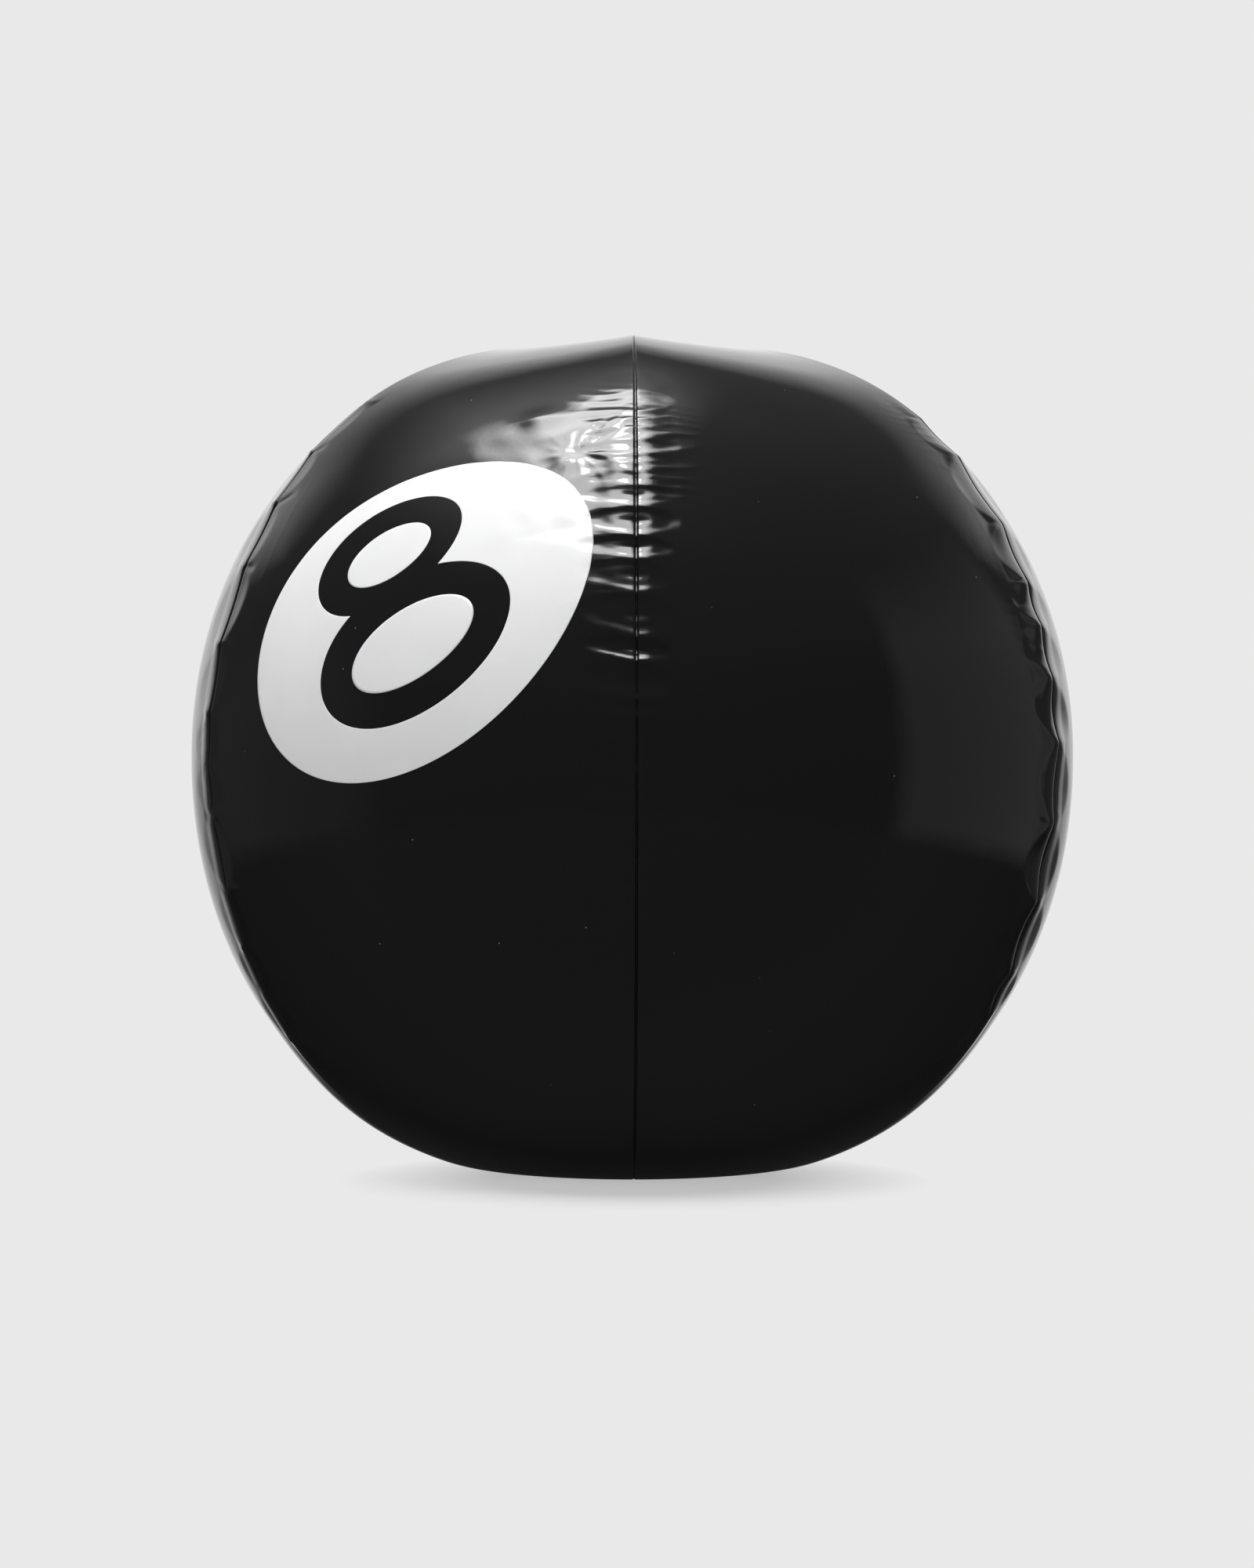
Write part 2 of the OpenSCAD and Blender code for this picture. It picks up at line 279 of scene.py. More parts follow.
# A crumple on the front left panel: a pinched point with creases running out of it.
# Places are (x across the panel, length up the panel); a crease is (turn, length, height, width).
crumple = {
    "at": (59.9, 121.3),
    "dent": -0.5,
    "dentRadius": 4.5,
    "dimples": [             # (x, s, half width, half length, height)
        (39, 142.5, 8, 7, 0.95), (66, 128, 5, 6, -0.3), (71, 104, 7, 5, -0.5), (30, 127, 11, 6, -0.25),
    ],
    "fan": 0.22,             # creases spreading from the pinched point
    "fanReach": 27,
    "fanRays": 6,            # pairs of them
    "fanBend": (0.9, 0.09),
    "fanLean": (0.62, 0.38, 0.5),
    "seed": 3,
    "soft": 0.06,            # shallow unevenness round the crumple
    "softAt": (58, 112),
    "softRadius": 34,
    "softWaves": (0.28, 0.62, 7),
    "creases": [
        (52, 33, 0.34, 1.3), (44, 26, -0.28, 1.3), (61, 30, 0.3, 1.4), (35, 22, 0.28, 1.3),
        (-8, 23, 0.3, 1.4), (-20, 18, -0.22, 1.4), (9, 20, -0.2, 1.4), (226, 17, 0.34, 1.3),
        (214, 15, -0.3, 1.4), (238, 16, 0.26, 1.3), (196, 14, 0.2, 1.5), (-60, 16, 0.16, 1.7),
        (-100, 14, 0.14, 1.8), (120, 12, 0.1, 2.0),
    ],
}
# Fold marks left by the packing, on the front left panel: (x, s, turn, half length, height, width)
foldMarks = [
    (26, 24, 14, 30, 0.10, 1.6), (2, 8, -38, 24, 0.08, 1.5), (47, 38, 24, 18, -0.08, 1.6),
    (66, 98, -12, 15, 0.2, 2.2), (58, 82, 10, 17, -0.15, 2.4), (52, 132, 24, 12, 0.2, 2.6),
    (40, 142, 8, 17, 0.18, 2.2), (64, 148, -6, 12, -0.15, 2.0), (66, 108, 22, 10, 0.25, 1.8),
    (72, 52, 18, 9, 0.12, 1.8), (68, -4, -12, 10, 0.12, 1.6),
]


def crumpleRelief(x, s):
    # sum of a dent and dimples e^-(r / radius)^2, creases, a fan of rays round the dent, and soft waves
    cx, cs = crumple["at"]
    total = crumple["dent"] * np.exp(-((x - cx) ** 2 + (s - cs) ** 2) / crumple["dentRadius"] ** 2)
    for turn, length, height, width in crumple["creases"]:
        a = math.radians(turn)
        middle = (cx + math.cos(a) * length / 2, cs + math.sin(a) * length / 2)
        total = total + crease(x, s, middle, turn, length / 2, height, width)
    for mx, ms, halfWidth, halfLength, height in crumple["dimples"]:
        total = total + height * np.exp(-((x - mx) / halfWidth) ** 2 - ((s - ms) / halfLength) ** 2)
    for mx, ms, turn, half, height, width in foldMarks:
        total = total + crease(x, s, (mx, ms), turn, half, height, width)
    r = np.hypot(x - cx, s - cs)
    turn = np.arctan2(s - cs, x - cx)
    sway, curl = crumple["fanBend"]
    rays = (1 - np.abs(np.sin(crumple["fanRays"] * turn + sway * np.sin(2 * turn + 1) + curl * r))) ** 1.5
    even, longer, way = crumple["fanLean"]
    reach = crumple["fanReach"] * (even + longer * np.cos(turn - way))
    total = total + crumple["fan"] * rays * np.clip(r / 5, 0, 1) * np.exp(-(r / reach) ** 2)
    draw = np.random.default_rng(crumple["seed"])
    soft = 0
    long, short, count = crumple["softWaves"]
    for turn, wave, phase in zip(draw.uniform(0, math.pi, count), draw.uniform(long, short, count),
                                 draw.uniform(0, 2 * math.pi, count)):
        soft = soft + np.sin(wave * (x * math.cos(turn) + s * math.sin(turn)) + phase)
    spread = np.exp(-((x - crumple["softAt"][0]) ** 2 + (s - crumple["softAt"][1]) ** 2)
                    / crumple["softRadius"] ** 2)
    return total + crumple["soft"] * soft * spread


valve = {
    "panel": 2,
    "up": 105.0,             # above the widest level
    "opening": 8.5,
    "flange": 17.0,
    "bore": 3.0,
    "tube": 4.5,
    "collar": 5.2,           # ring that the boot grips
    "depth": 14.0,
    "lip": 6.2,
    "lipTop": 0.8,
    "weldRing": (9.6, 16.4),
    "weldRise": 0.14,
    "weldEdge": 0.7,
    "block": 19,             # half size of the panel's cells that the rings replace
    "rings": 22,
}
valveLength = lengthAlongPanel(np.array(valve["up"]))
weldLine = {"distance": 16.8, "height": 0.02, "width": 1.1, "calmPast": 150}    # mark beside the weld


def relief(k, x, z):
    # everything that stands off the smooth gore: puckers of both seams, creases, weld marks
    half = seamRadius(z) / 2
    s = lengthAlongSeam(z)
    right = half - x
    left = half + x
    ones = np.ones_like(x)
    total = seamRelief((k + 1) % ball["panels"], s, np.abs(right), -ones)
    total = total + seamRelief(k, s, np.abs(left), ones)
    for d in (right, left):
        away = (d - weldLine["distance"]) / weldLine["width"]
        fade = np.clip(1.2 - np.abs(s / weldLine["calmPast"]) ** 3, 0, 1)
        total = total + weldLine["height"] * np.exp(-away ** 2) * fade
    if k == printPanel:
        total = total + crumpleRelief(x, lengthAlongPanel(z))
    if k == valve["panel"]:
        up = lengthAlongPanel(z) - valveLength
        r = np.hypot(x, up)
        low, high = valve["weldRing"]
        ring = np.clip(np.minimum(r - low, high - r) / valve["weldEdge"], 0, 1)
        total = total + valve["weldRise"] * ring
    return total


def goreTurn(k):
    return -math.pi / 2 + halfGore + 2 * halfGore * k


def pressed(z):
    # smooth maximum of the height and the pressed film's: film + (q + sqrt(q^2 + pressRadius^2)) / 2
    q = z + ball["widestZ"] - ball["floorFilm"]
    return ball["floorFilm"] + (q + np.sqrt(q ** 2 + ball["pressRadius"] ** 2)) / 2


settling = {
    "levels": (-112, -170),     # the seams flatten out between these heights
    "roundness": 0.7,           # between the panels' radius and the seams'
}


def settled(x, y, z):
    # the weight on the floor rounds the six-sided section off: radius R (1 + w (even / R - 1)), with w
    # rising smoothly from 0 to 1 downwards and R the section's own radius that way, from its quadratic
    limit = poleHeight(z) - poleMargin
    level = np.clip(z, -limit, limit)
    high, low = settling["levels"]
    w = np.clip((high - level) / (high - low), 0, 1)
    w = w * w * (3 - 2 * w)
    off = (np.arctan2(y, x) + math.pi / 2) % (2 * halfGore) - halfGore
    atSeam, atPanel = seamRadius(level), panelRadius(level)
    chord = atSeam * math.cos(halfGore)
    rise = atPanel - chord
    bend = 4 * rise * atPanel * (np.sin(off) / (atSeam / 2)) ** 2
    own = 2 * atPanel / (np.cos(off) + np.sqrt(np.maximum(np.cos(off) ** 2 + bend, 0)))
    even = atPanel + settling["roundness"] * (atSeam - atPanel)
    scale = 1 + w * (even / own - 1)
    return x * scale, y * scale


def filmPoint(k, x, z, lift=0.0):
    # gore surface moved along its normal, which leans over to the seam's own normal close to the weld
    half = seamRadius(z) / 2
    depth = panelDepth(x, z)
    limit = poleHeight(z) - poleMargin
    inner = np.clip(z, -limit, limit)
    perX = -2 * (panelRadius(z) - seamRadius(z) * math.cos(halfGore)) * x / np.maximum(half, 1e-6) ** 2
    narrow = np.minimum(np.abs(x), seamRadius(inner) / 2) * np.sign(x)
    perZ = (panelDepth(narrow, inner + probe) - panelDepth(narrow, inner - probe)) / (2 * probe)
    steep = slopeOf(seamRadius, z)
    size = np.sqrt(1 + perX ** 2 + perZ ** 2)
    face = np.stack([1 / size, -perX / size, -perZ / size], -1)
    edge = np.sqrt(1 + steep ** 2)
    ridge = np.stack([math.cos(halfGore) / edge, np.sign(x) * math.sin(halfGore) / edge, -steep / edge], -1)
    near = np.exp(-((half - np.abs(x)) / ridgeBlend) ** 2)[..., None]
    way = face * (1 - near) + ridge * near
    way = way / np.linalg.norm(way, axis=-1, keepdims=True)
    point = np.stack([depth, x, z], -1) + way * (relief(k, x, z) + lift)[..., None]
    a = goreTurn(k)
    around = settled(point[..., 0] * math.cos(a) - point[..., 1] * math.sin(a),
                     point[..., 0] * math.sin(a) + point[..., 1] * math.cos(a), point[..., 2])
    return np.stack([*around, pressed(point[..., 2])], -1)


def gridFaces(rows, columns, wrapRows=False, wrapColumns=False):
    index = np.arange(rows * columns).reshape(rows, columns)
    if wrapRows:
        index = np.vstack([index, index[:1]])
    if wrapColumns:
        index = np.hstack([index, index[:, :1]])
    return np.stack([index[:-1, :-1], index[1:, :-1], index[1:, 1:], index[:-1, 1:]], -1).reshape(-1, 4)


def cappedFaces(rows, columns):
    # a rolled-up grid whose first and last rows are closed by fans to the two points that follow it
    faces = gridFaces(rows, columns, wrapColumns=True).tolist()
    tip = rows * columns
    last = (rows - 1) * columns
    around = np.arange(columns)
    after = (around + 1) % columns
    faces += np.stack([np.full(columns, tip), around, after], -1).tolist()
    faces += np.stack([np.full(columns, tip + 1), last + after, last + around], -1).tolist()
    return faces


def makePiece(name, points, faces, body, slotName, material, replaced, smooth=True):
    mesh = bpy.data.meshes.new(name)
    mesh.from_pydata((np.asarray(points).reshape(-1, 3) * mm).tolist(), [], [list(f) for f in faces])
    mesh.validate()
    mesh.polygons.foreach_set("use_smooth", np.full(len(mesh.polygons), smooth))
    mesh.materials.append(material)
    piece = bpy.data.objects.new(name, mesh)
    bpy.context.scene.collection.objects.link(piece)
    if body:
        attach(piece, body)
    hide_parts(*replaced)
    return piece


def spaced(knots, steps):
    # values running through the knots with the given spacing in each stretch
    parts = [np.linspace(a, b, max(2, round(abs(b - a) / step) + 1))[:-1]
             for a, b, step in zip(knots[:-1], knots[1:], steps)]
    return np.concatenate(parts + [[knots[-1]]])


class Wire:
    # one output of a node tree; arithmetic on wires adds Math nodes
    def __init__(self, tree, socket=None):
        self.tree = tree
        self.socket = socket

    def add(self, kind, settings=None, inputs=None, output=0):
        made = self.tree.nodes.new(kind)
        for name, value in (settings or {}).items():
            setattr(made, name, value)
        for name, value in (inputs or {}).items():
            if isinstance(value, Wire):
                self.tree.links.new(value.socket, made.inputs[name])
            else:
                made.inputs[name].default_value = value
        return Wire(self.tree, made.outputs[output])

    def maths(self, operation, *values):
        return self.add("ShaderNodeMath", {"operation": operation}, dict(enumerate(values)))

    def __add__(self, other):
        return self.maths("ADD", self, other)

    def __radd__(self, other):
        return self.maths("ADD", other, self)

    def __sub__(self, other):
        return self.maths("SUBTRACT", self, other)

    def __rsub__(self, other):
        return self.maths("SUBTRACT", other, self)

    def __mul__(self, other):
        return self.maths("MULTIPLY", self, other)

    def __rmul__(self, other):
        return self.maths("MULTIPLY", other, self)

    def __truediv__(self, other):
        return self.maths("DIVIDE", self, other)

    def __rtruediv__(self, other):
        return self.maths("DIVIDE", other, self)

    def __gt__(self, other):
        return self.maths("GREATER_THAN", self, other)

    def __lt__(self, other):
        return self.maths("LESS_THAN", self, other)


def place(tree):
    return Wire(tree).add("ShaderNodeTexCoord", output="Object")


def noise(at, scale, detail=2.0, roughness=0.5):
    return at.add("ShaderNodeTexNoise", None,
                  {"Vector": at, "Scale": scale, "Detail": detail, "Roughness": roughness}, "Fac")


def ranged(value, low, high, toLow, toHigh):
    # low to high becomes toLow to toHigh, held at both ends
    return value.add("ShaderNodeMapRange", None,
                     {0: value, 1: low, 2: high, 3: toLow, 4: toHigh})


def blendColour(mask, first, second):
    # sockets 6 and 7 are the Mix node's colours, output 2 its colour
    return mask.add("ShaderNodeMix", {"data_type": "RGBA"},
                    {0: mask, 6: (*first, 1), 7: (*second, 1)}, 2)


def bumped(height, depth, more=None):
    return height.add("ShaderNodeBump", None,
                      {"Strength": 1.0, "Distance": depth, "Height": height, **(more or {})}, "Normal")


def newFinish(name, constants):
    material = bpy.data.materials.new(name)
    material.use_nodes = True
    shader = material.node_tree.nodes["Principled BSDF"]
    for socket, value in constants.items():
        shader.inputs[socket].default_value = value
    return material, material.node_tree, shader


def connect(tree, shader, links):
    for socket, wire in links.items():
        tree.links.new(wire.socket, shader.inputs[socket])


vinylLook = {
    "colour": (0.0045, 0.0045, 0.005),
    "dust": (0.16, 0.16, 0.17),
    "roughness": (0.035, 0.085),
    "gloss": 1.5,
    "peelScale": 420,       # per metre
    "peelDepth": 0.000012,
    "waveScale": 38,
    "waveDepth": 0.00012,
    "dustScale": 210,
    "dustSize": 0.055,
    "dustFrom": 0.975,      # cells whose random value is above this hold a speck
    "smudgeScale": 17,
}


def vinylFinish(name, look):
    material, tree, shader = newFinish(name, {"IOR": look["gloss"]})
    at = place(tree)
    peel = noise(at, look["peelScale"], 1.0)
    wave = noise(at, look["waveScale"], 1.0)
    smudge = noise(at, look["smudgeScale"], 3.0)
    cells, chance = (
        at.add("ShaderNodeTexVoronoi", {"feature": "F1"}, {"Vector": at, "Scale": look["dustScale"]}, output)
        for output in ("Distance", "Color"))
    pick = at.add("ShaderNodeSeparateColor", None, {"Color": chance}, 0)
    speck = (cells < look["dustSize"]) * (pick > look["dustFrom"])
    waved = bumped(wave, look["waveDepth"])
    low, high = look["roughness"]
    connect(tree, shader, {
        "Base Color": blendColour(speck, look["colour"], look["dust"]),
        "Roughness": ranged(smudge, 0.35, 0.7, low, high) + speck * 0.5,
        "Normal": bumped(peel, look["peelDepth"], {"Normal": waved}),
    })
    return material


inkLook = {
    "colour": (0.60, 0.60, 0.605),
    "shade": (0.565, 0.565, 0.572),
    "roughness": (0.14, 0.24),
    "gloss": 1.5,
    "grainScale": 900,
    "grainDepth": 0.000008,
    "cloudScale": 24,
}


def inkFinish(name, look):
    material, tree, shader = newFinish(name, {"IOR": look["gloss"]})
    at = place(tree)
    grain = noise(at, look["grainScale"], 2.0)
    cloud = noise(at, look["cloudScale"], 3.0)
    low, high = look["roughness"]
    connect(tree, shader, {
        "Base Color": blendColour(ranged(cloud, 0.35, 0.7, 0, 1), look["colour"], look["shade"]),
        "Roughness": ranged(cloud, 0.3, 0.7, low, high),
        "Normal": bumped(grain, look["grainDepth"]),
    })
    return material


mouldedLook = {
    "gloss": 1.48,
    "softRadius": 0.004,
    "grainScale": 700,
    "grainDepth": 0.00001,
    "cloudScale": 160,
}


def mouldedFinish(name, colour, shade, roughness, soft=0.12):
    look = mouldedLook
    material, tree, shader = newFinish(name, {
        "IOR": look["gloss"], "Subsurface Weight": soft, "Subsurface Radius": (look["softRadius"],) * 3})
    at = place(tree)
    grain = noise(at, look["grainScale"], 2.0)
    cloud = noise(at, look["cloudScale"], 3.0)
    connect(tree, shader, {
        "Base Color": blendColour(ranged(cloud, 0.3, 0.7, 0, 1), colour, shade),
        "Roughness": ranged(cloud, 0.3, 0.7, *roughness),
        "Normal": bumped(grain, look["grainDepth"]),
    })
    return material


blackVinyl = vinylFinish("glossBlackVinyl", vinylLook)
weldVinyl = vinylFinish("weldedVinyl", {**vinylLook, "roughness": (0.2, 0.35), "peelScale": 900})
patchVinyl = vinylFinish("patchVinyl", {**vinylLook, "roughness": (0.06, 0.14)})
whiteInk = inkFinish("whiteInk", inkLook)
valveFilm = mouldedFinish("valveFilm", (0.04, 0.04, 0.045), (0.05, 0.05, 0.055), (0.3, 0.4), soft=0.0)
valveMoulding = mouldedFinish("valveMoulding", (0.52, 0.53, 0.55), (0.46, 0.47, 0.49), (0.28, 0.38))
plugMoulding = mouldedFinish("plugMoulding", (0.56, 0.57, 0.59), (0.5, 0.51, 0.53), (0.26, 0.36))
flapFilm = mouldedFinish("flapFilm", (0.58, 0.59, 0.61), (0.52, 0.53, 0.55), (0.3, 0.4))
print("finishes made")


panelGrid = {
    "levels": (300, 190, 160, 30, -150, -235, -303),
    "levelSteps": (2.0, 1.3, 0.9, 1.5, 2.0, 4.0),
    "edge": 0.3,             # rolled edge to the seam plane
    "roll": 0.8,             # radius of the rolled edge
    "tuck": 1.5,             # how far the edge goes on inwards
    "reach": 30,             # fine columns from the seam
    "fine": 1.15,
    "coarse": 4.2,
    "rollTurns": (90, 15, 5),    # from, to and number of the rolled edge's points
    "tightBelow": 6,         # half width under which the roll tightens
    "printFrom": 20,         # finer columns from here on the printed panel
    "printStep": 2.0,
}
panelNames = ["panel_front_right", "panel_right", "panel_back_right", "panel_back_left",
              "panel_left", "panel_front_left"]


def edgeColumns():
    # distance from the seam plane and drop below the surface, from the tucked edge outwards
    turn = np.linspace(*panelGrid["rollTurns"])
    start = panelGrid["edge"] + panelGrid["roll"]
    away = np.r_[panelGrid["edge"], start - panelGrid["roll"] * np.sin(np.radians(turn))]
    drop = np.r_[panelGrid["roll"] + panelGrid["tuck"], panelGrid["roll"] * (1 - np.cos(np.radians(turn)))]
    return away, drop


def panelColumns(k):
    # fractions across the panel at its widest, and the rolled edges
    widest = ball["seamRadius"] / 2
    start = panelGrid["edge"] + panelGrid["roll"]
    fine = panelGrid["fine"]
    middle = widest - panelGrid["reach"]
    if k == printPanel:
        knots = (-widest + start, -middle, panelGrid["printFrom"], middle, widest - start)
        steps = (fine, panelGrid["coarse"], panelGrid["printStep"], fine)
    else:
        knots = (-widest + start, -middle, middle, widest - start)
        steps = (fine, panelGrid["coarse"], fine)
    return spaced(knots, steps) / (widest - start)


def panelPoints(k):
    # rows run from pole to pole at even lengths, columns from seam to seam with a rolled edge at each
    s = spaced(panelGrid["levels"], panelGrid["levelSteps"])
    z = levelAt(s)[:, None]
    half = seamRadius(z) / 2
    away, drop = edgeColumns()
    room = np.minimum(1, half / panelGrid["tightBelow"])
    start = (panelGrid["edge"] + panelGrid["roll"]) * room
    inner = panelColumns(k)[None, :] * (half - start)
    side = half - away[None, :] * room
    x = np.hstack([-side, inner, side[:, ::-1]])
    flat = np.zeros_like(inner)
    sink = np.hstack([drop[None, :] * room, flat, drop[None, ::-1] * room])
    return x, np.broadcast_to(z, x.shape), -sink


def makePanel(k):
    x, z, lift = panelPoints(k)
    points = filmPoint(k, x, z, lift)
    rows, columns = x.shape
    faces = gridFaces(rows, columns)
    points = points.reshape(-1, 3)
    if k == valve["panel"]:
        points, faces = cutOpening(k, x, z, points, faces, columns)
    piece = makePiece("film_" + panelNames[k], points, faces, "ball", "black_vinyl", blackVinyl,
                      [panelNames[k]])
    wall = piece.modifiers.new("film", "SOLIDIFY")
    wall.thickness = ball["film"] * mm
    wall.offset = -1
    wall.use_even_offset = False


def cutOpening(k, x, z, points, faces, columns):
    # a block of cells round the valve gives way to rings that run from its outline to the round hole
    s = lengthAlongPanel(z)
    near = (np.abs(x) < valve["block"]) & (np.abs(s - valveLength) < valve["block"])
    rowsIn = np.where(near.any(1))[0]
    columnsIn = np.where(near[rowsIn[len(rowsIn) // 2]])[0]
    top, bottom, left, right = rowsIn[0], rowsIn[-1], columnsIn[0], columnsIn[-1]
    loop = np.concatenate([
        [top * columns + c for c in range(left, right)],
        [r * columns + right for r in range(top, bottom)],
        [bottom * columns + c for c in range(right, left, -1)],
        [r * columns + left for r in range(bottom, top, -1)],
    ]).astype(int)
    row = faces[:, 0] // columns
    column = faces[:, 0] % columns
    block = (row >= top) & (row < bottom) & (column >= left) & (column < right)
    faces = faces[~block]
    outer = np.stack([x.ravel()[loop], s.ravel()[loop] - valveLength], -1)
    turn = np.arctan2(outer[:, 1], outer[:, 0])
    opening = valve["opening"] * np.stack([np.cos(turn), np.sin(turn)], -1)
    shares = np.linspace(0, 1, valve["rings"])[1:, None, None]
    rings = outer[None] * (1 - shares) + opening[None] * shares
    added = filmPoint(k, rings[..., 0], levelAt(rings[..., 1] + valveLength))
    count = len(loop)
    first = len(points)
    index = np.vstack([loop, first + np.arange(len(added) * count).reshape(-1, count)])
    index = np.hstack([index, index[:, :1]])
    ringFaces = np.stack([index[:-1, :-1], index[:-1, 1:], index[1:, 1:], index[1:, :-1]], -1).reshape(-1, 4)
    points = np.vstack([points, added.reshape(-1, 3)])
    faces = np.vstack([faces, ringFaces[:, ::-1]])
    used = np.unique(faces)
    renumber = np.zeros(len(points), int)
    renumber[used] = np.arange(len(used))
    return points[used], renumber[faces]


for k in range(ball["panels"]):
    makePanel(k)
print("panels made")


weld = {
    "names": ["weld_front", "weld_front_right", "weld_back_right", "weld_back", "weld_back_left",
              "weld_front_left"],
    "width": 8.0,
    "half": 0.28,
    "sink": 0.55,
    "corner": 0.15,
    "tightBelow": 40,        # seam radius under which the strip narrows
}


def makeWeld(k):
    # a flat strip carried along the seam line, on edge, its outer edge under the ridge
    s = spaced(panelGrid["levels"], panelGrid["levelSteps"])
    z = levelAt(s)
    r = seamRadius(z)
    steep = slopeOf(seamRadius, z)
    size = np.sqrt(1 + steep ** 2)
    out = np.stack([1 / size, -steep / size], -1)
    sag = seamRelief(k, lengthAlongSeam(z), np.zeros_like(z), np.ones_like(z))
    h, c = weld["half"], weld["corner"]
    section = np.array([(-h, -c), (-h + c, 0), (h - c, 0), (h, -c), (h, -weld["width"] / 2),
                        (h, -weld["width"]), (-h, -weld["width"]), (-h, -weld["width"] / 2)])
    room = np.minimum(1, r / weld["tightBelow"])
    low = -weld["sink"] + sag[:, None] + section[None, :, 1] * room[:, None]
    radial = r[:, None] + out[:, :1] * low
    height = z[:, None] + out[:, 1:] * low
    across = np.broadcast_to(section[None, :, 0], radial.shape)
    a = goreTurn(k) - halfGore
    around = settled(radial * math.cos(a) - across * math.sin(a),
                     radial * math.sin(a) + across * math.cos(a), height)
    points = np.stack([*around, pressed(height)], -1)
    rows, columns = radial.shape
    faces = [*gridFaces(rows, columns, wrapColumns=True)[:, ::-1].tolist(),
             list(range(columns)), list(range(rows * columns - 1, (rows - 1) * columns - 1, -1))]
    makePiece("strip_" + weld["names"][k], points, faces, "ball", "welded_vinyl", weldVinyl,
              [weld["names"][k]], smooth=False)


for k in range(ball["panels"]):
    makeWeld(k)
print("welds made")


patch = {
    "radius": 45.0,
    "thick": 0.3,
    "gap": 0.1,
    "weldBand": (36.5, 43.5),
    "weldDepth": 0.18,
    "weldEdge": 0.8,
    "ribs": 96,
    "ribShare": 0.35,
    "rim": 0.25,
    "searchFrom": 60.0,      # the crown lies above this height
    "halvings": 40,
    "rings": 60,
    "around": 384,
}


def crownLevel(r, turn):
    # height where the gore surface has the given radius and azimuth, found by halving
    k = np.floor((turn + math.pi / 2) / (2 * halfGore)).astype(int) % ball["panels"]
    off = (turn + math.pi / 2) % (2 * halfGore) - halfGore
    x = r * np.sin(off)
    want = r * np.cos(off)
    low = np.full(r.shape, patch["searchFrom"])
    high = np.full(r.shape, ball["topHeight"] - 1e-4)
    for step in range(patch["halvings"]):
        middle = (low + high) / 2
        outside = panelDepth(x, middle) > want
        low = np.where(outside, middle, low)
        high = np.where(outside, high, middle)
    return (low + high) / 2


def patchBand(r, turn):
    # the pressed band of the weld, with radial ribs
    low, high = patch["weldBand"]
    band = np.clip(np.minimum(r - low, high - r) / patch["weldEdge"], 0, 1)
    ribs = 1 - patch["ribShare"] + patch["ribShare"] * np.cos(patch["ribs"] * turn)
    return -patch["weldDepth"] * band * ribs


def makePatch(name, node, heightAt, side):
    # a round plate: two discs of rings and spokes joined at a rounded rim
    ringRadii = np.linspace(0, patch["radius"] - patch["rim"], patch["rings"])[1:]
    turn = np.linspace(0, 2 * math.pi, patch["around"], endpoint=False)[None, :]
    topR = np.r_[ringRadii, patch["radius"]]
    r = topR[:, None] * np.ones_like(turn)
    ground = heightAt(r, turn * np.ones_like(r))
    raised = patch["thick"] + patchBand(r, turn)
    raised[-1] = patch["thick"] * 0.5
    upper = np.stack([r * np.cos(turn), r * np.sin(turn), ground + side * raised], -1)
    lower = np.stack([r * np.cos(turn), r * np.sin(turn), ground], -1)
    lower[-1, :, 2] = (ground + side * patch["thick"] * 0.2)[-1]
    rows, columns = r.shape
    both = np.concatenate([upper, lower[::-1]])
    centre = heightAt(np.array([1e-3]), np.array([0.0]))[0]
    tips = np.array([[0, 0, centre + side * patch["thick"]], [0, 0, centre]])
    points = np.vstack([both.reshape(-1, 3), tips])
    faces = cappedFaces(2 * rows, columns)
    if side < 0:
        faces = [f[::-1] for f in faces]
    makePiece(name, points, faces, "ball", "black_vinyl", patchVinyl, [node])


def crownHeight(r, turn):
    return crownLevel(r, turn) + ball["widestZ"] + patch["gap"]


def restHeight(r, turn):
    return np.full(r.shape, patch["thick"])


makePatch("patch_top", "top_patch", crownHeight, 1)
makePatch("patch_bottom", "bottom_patch", restHeight, -1)
print("patches made")


spot = {
    "up": 51.5,
    "side": 4.9,
    "long": 80.5,
    "short": 60.4,
    "turn": 32.7,
    "waist": (0.0, 0.18),
    "outer": (0.0, 0.0, 1.0, 1.0, 0.0),
    "upperLoop": (0.025, 0.47, 0.433, 0.359, -5.0),
    "lowerLoop": (-0.041, -0.222, 0.56, 0.465, -9.0),
    "upperCounter": (0.036, 0.454, 0.249, 0.184, -6.5),
    "lowerCounter": (-0.034, -0.228, 0.361, 0.242, -5.5),
    "gap": 0.12,
    "ink": 0.12,
    "fieldGrid": (540, 66),  # points round the figure and rows out to the rim
    "counterGrid": (240, 26),
}


def spun(x, y, degrees):
    a = math.radians(degrees)
    return x * math.cos(a) - y * math.sin(a), x * math.sin(a) + y * math.cos(a)


def printPoint(x, y, lift):
    # artwork in a unit circle, stretched to the oval, turned, laid on the flat film and inflated with it
    w, s = spun(x * spot["long"], y * spot["short"], spot["turn"])
    z = levelAt(s + spot["up"])
    half = seamRadius(z) / 2
    rise = panelRadius(z) - seamRadius(z) * math.cos(halfGore)
    bend = (half ** 2 + rise ** 2) / (2 * rise)
    return filmPoint(printPanel, bend * np.sin((w + spot["side"]) / bend), z, lift)


